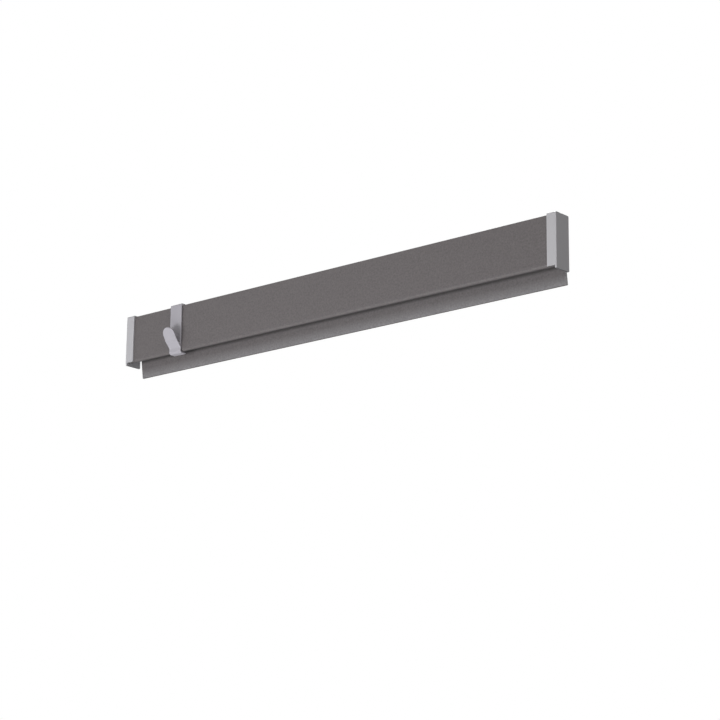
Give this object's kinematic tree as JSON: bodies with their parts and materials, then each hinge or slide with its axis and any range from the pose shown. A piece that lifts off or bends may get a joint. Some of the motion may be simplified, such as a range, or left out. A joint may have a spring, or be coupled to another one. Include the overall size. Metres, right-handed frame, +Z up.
{
  "type": "picture hanging rail with hook",
  "caption": "Wall-mounted picture hanging rail: extruded profile with a roller grip that holds sheets by their upper edge, end caps, push-in wall clips and a sliding clip-on hook.",
  "frame": {"origin": "on the wall plane, midway between the two wall screws", "axes": "+X to the right along the rail, +Y into the wall, +Z up"},
  "size_m": [0.356, 0.0235, 0.0411],
  "materials": {
    "coated_aluminium": "dark grey satin coating with a fine texture",
    "cap_plastic": "light grey, fine moulded texture",
    "hook_plastic": "light grey, smooth satin",
    "clip_plastic": "mid grey, as moulded",
    "roller_plastic": "off-white, fine turned surface"
  },
  "bodies": {
    "rail": {"rail_profile": "coated_aluminium", "end_cap_left": "cap_plastic", "end_cap_right": "cap_plastic", "wall_clip_left": "clip_plastic", "wall_clip_right": "clip_plastic"},
    "hook": {"rail_hook": "hook_plastic"},
    "roller_01": {"grip_roller_01": "roller_plastic"},
    "roller_02": {"grip_roller_02": "roller_plastic"},
    "roller_03": {"grip_roller_03": "roller_plastic"},
    "roller_04": {"grip_roller_04": "roller_plastic"},
    "roller_05": {"grip_roller_05": "roller_plastic"},
    "roller_06": {"grip_roller_06": "roller_plastic"},
    "roller_07": {"grip_roller_07": "roller_plastic"},
    "roller_08": {"grip_roller_08": "roller_plastic"},
    "roller_09": {"grip_roller_09": "roller_plastic"},
    "roller_10": {"grip_roller_10": "roller_plastic"},
    "roller_11": {"grip_roller_11": "roller_plastic"},
    "roller_12": {"grip_roller_12": "roller_plastic"},
    "roller_13": {"grip_roller_13": "roller_plastic"},
    "roller_14": {"grip_roller_14": "roller_plastic"}
  },
  "joints": [
    {"name": "hook_slide", "type": "slide", "parent": "rail", "child": "hook", "axis": [1, 0, 0], "range_m": [-0.03495, 0.29675]},
    {"name": "roller_01_lift", "type": "slide", "parent": "rail", "child": "roller_01", "axis": [0, -0.7071, 0.7071], "range_m": [0, 0.0024]},
    {"name": "roller_02_lift", "type": "slide", "parent": "rail", "child": "roller_02", "axis": [0, -0.7071, 0.7071], "range_m": [0, 0.0024]},
    {"name": "roller_03_lift", "type": "slide", "parent": "rail", "child": "roller_03", "axis": [0, -0.7071, 0.7071], "range_m": [0, 0.0024]},
    {"name": "roller_04_lift", "type": "slide", "parent": "rail", "child": "roller_04", "axis": [0, -0.7071, 0.7071], "range_m": [0, 0.0024]},
    {"name": "roller_05_lift", "type": "slide", "parent": "rail", "child": "roller_05", "axis": [0, -0.7071, 0.7071], "range_m": [0, 0.0024]},
    {"name": "roller_06_lift", "type": "slide", "parent": "rail", "child": "roller_06", "axis": [0, -0.7071, 0.7071], "range_m": [0, 0.0024]},
    {"name": "roller_07_lift", "type": "slide", "parent": "rail", "child": "roller_07", "axis": [0, -0.7071, 0.7071], "range_m": [0, 0.0024]},
    {"name": "roller_08_lift", "type": "slide", "parent": "rail", "child": "roller_08", "axis": [0, -0.7071, 0.7071], "range_m": [0, 0.0024]},
    {"name": "roller_09_lift", "type": "slide", "parent": "rail", "child": "roller_09", "axis": [0, -0.7071, 0.7071], "range_m": [0, 0.0024]},
    {"name": "roller_10_lift", "type": "slide", "parent": "rail", "child": "roller_10", "axis": [0, -0.7071, 0.7071], "range_m": [0, 0.0024]},
    {"name": "roller_11_lift", "type": "slide", "parent": "rail", "child": "roller_11", "axis": [0, -0.7071, 0.7071], "range_m": [0, 0.0024]},
    {"name": "roller_12_lift", "type": "slide", "parent": "rail", "child": "roller_12", "axis": [0, -0.7071, 0.7071], "range_m": [0, 0.0024]},
    {"name": "roller_13_lift", "type": "slide", "parent": "rail", "child": "roller_13", "axis": [0, -0.7071, 0.7071], "range_m": [0, 0.0024]},
    {"name": "roller_14_lift", "type": "slide", "parent": "rail", "child": "roller_14", "axis": [0, -0.7071, 0.7071], "range_m": [0, 0.0024]}
  ]
}
